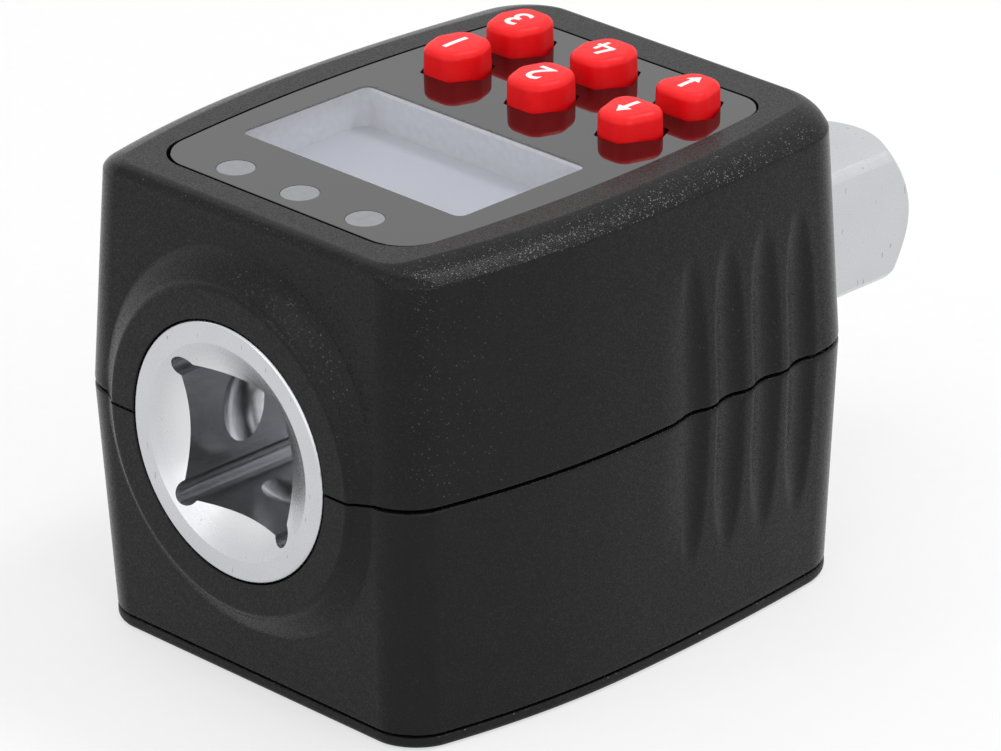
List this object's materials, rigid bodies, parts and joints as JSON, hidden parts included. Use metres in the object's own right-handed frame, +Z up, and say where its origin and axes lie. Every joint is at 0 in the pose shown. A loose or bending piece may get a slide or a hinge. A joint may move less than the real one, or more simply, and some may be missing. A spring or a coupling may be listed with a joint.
{
  "type": "digital torque adapter",
  "caption": "Digital torque adapter: square drive shaft with female socket and male square in a bevelled housing with display, lamps and rubber keys.",
  "frame": {"origin": "centre of the flat base under the drive axis, midway between the housing's end walls", "axes": "+X to the right as seen from the socket end, +Y along the drive axis towards the male square, +Z up towards the display"},
  "size_m": [0.0712, 0.12, 0.0703],
  "materials": {
    "ball_steel": "polished",
    "black_insulation": "matte",
    "black_plastic": "moulded",
    "board_laminate": "solder mask",
    "cell_jacket": "sleeve",
    "cover_plastic": "matte",
    "display_glass": "grey display",
    "frame_plastic": "satin",
    "gauge_foil": "etched foil",
    "housing_plastic": "fine matte texture",
    "key_rubber": "matte",
    "lamp_lens": "milky lens",
    "panel_print": "dark grey print behind the window",
    "panel_window": "clear, glossy",
    "red_insulation": "matte",
    "seal_rubber": "matte",
    "shaft_steel": "satin plated",
    "spring_steel": "plated"
  },
  "bodies": {
    "housing": {"battery_front": "cell_jacket", "battery_rear": "cell_jacket", "board_screw_1": "spring_steel", "board_screw_2": "spring_steel", "board_screw_3": "spring_steel", "board_screw_4": "spring_steel", "bottom_cover": "cover_plastic", "circuit_board": "board_laminate", "contact_link": "spring_steel", "contact_minus": "spring_steel", "contact_plus": "spring_steel", "cover_screw_1": "spring_steel", "cover_screw_2": "spring_steel", "cover_screw_3": "spring_steel", "cover_screw_4": "spring_steel", "cover_seal": "seal_rubber", "detent_spring": "spring_steel", "display_panel": "panel_window", "front_bush": "black_plastic", "gauge_leads": "red_insulation", "housing_screw_1": "spring_steel", "housing_screw_2": "spring_steel", "housing_screw_3": "spring_steel", "housing_screw_4": "spring_steel", "key_mat": "key_rubber", "lamp_left": "lamp_lens", "lamp_middle": "lamp_lens", "lamp_right": "lamp_lens", "lcd_frame": "frame_plastic", "lcd_module": "display_glass", "lead_black": "black_insulation", "lead_red": "red_insulation", "lower_housing": "housing_plastic", "panel_mask": "panel_print", "rear_bush": "black_plastic", "sounder": "black_plastic", "strain_gauge_bottom": "gauge_foil", "strain_gauge_top": "gauge_foil", "switch_film": "spring_steel", "torque_shaft": "shaft_steel", "upper_housing": "housing_plastic"},
    "key_clear": {"key_clear": "key_rubber"},
    "key_down": {"key_down": "key_rubber"},
    "key_memory": {"key_memory": "key_rubber"},
    "key_peak": {"key_peak": "key_rubber"},
    "key_unit": {"key_unit": "key_rubber"},
    "key_up": {"key_up": "key_rubber"},
    "ball": {"detent_ball": "ball_steel"}
  },
  "joints": [
    {"name": "key_clear_press", "type": "slide", "parent": "housing", "child": "key_clear", "axis": [0, 0, -1], "range_m": [0, 0.001], "stiffness_N_per_m": 900, "springref_m": -0.0004},
    {"name": "key_down_press", "type": "slide", "parent": "housing", "child": "key_down", "axis": [0, 0, -1], "range_m": [0, 0.001], "stiffness_N_per_m": 900, "springref_m": -0.0004},
    {"name": "key_memory_press", "type": "slide", "parent": "housing", "child": "key_memory", "axis": [0, 0, -1], "range_m": [0, 0.001], "stiffness_N_per_m": 900, "springref_m": -0.0004},
    {"name": "key_peak_press", "type": "slide", "parent": "housing", "child": "key_peak", "axis": [0, 0, -1], "range_m": [0, 0.001], "stiffness_N_per_m": 900, "springref_m": -0.0004},
    {"name": "key_unit_press", "type": "slide", "parent": "housing", "child": "key_unit", "axis": [0, 0, -1], "range_m": [0, 0.001], "stiffness_N_per_m": 900, "springref_m": -0.0004},
    {"name": "key_up_press", "type": "slide", "parent": "housing", "child": "key_up", "axis": [0, 0, -1], "range_m": [0, 0.001], "stiffness_N_per_m": 900, "springref_m": -0.0004},
    {"name": "detent_ball_push", "type": "slide", "parent": "housing", "child": "ball", "axis": [1, 0, 0], "range_m": [0, 0.0013], "stiffness_N_per_m": 1500, "springref_m": -0.0005, "deforming": ["detent_spring"]}
  ]
}
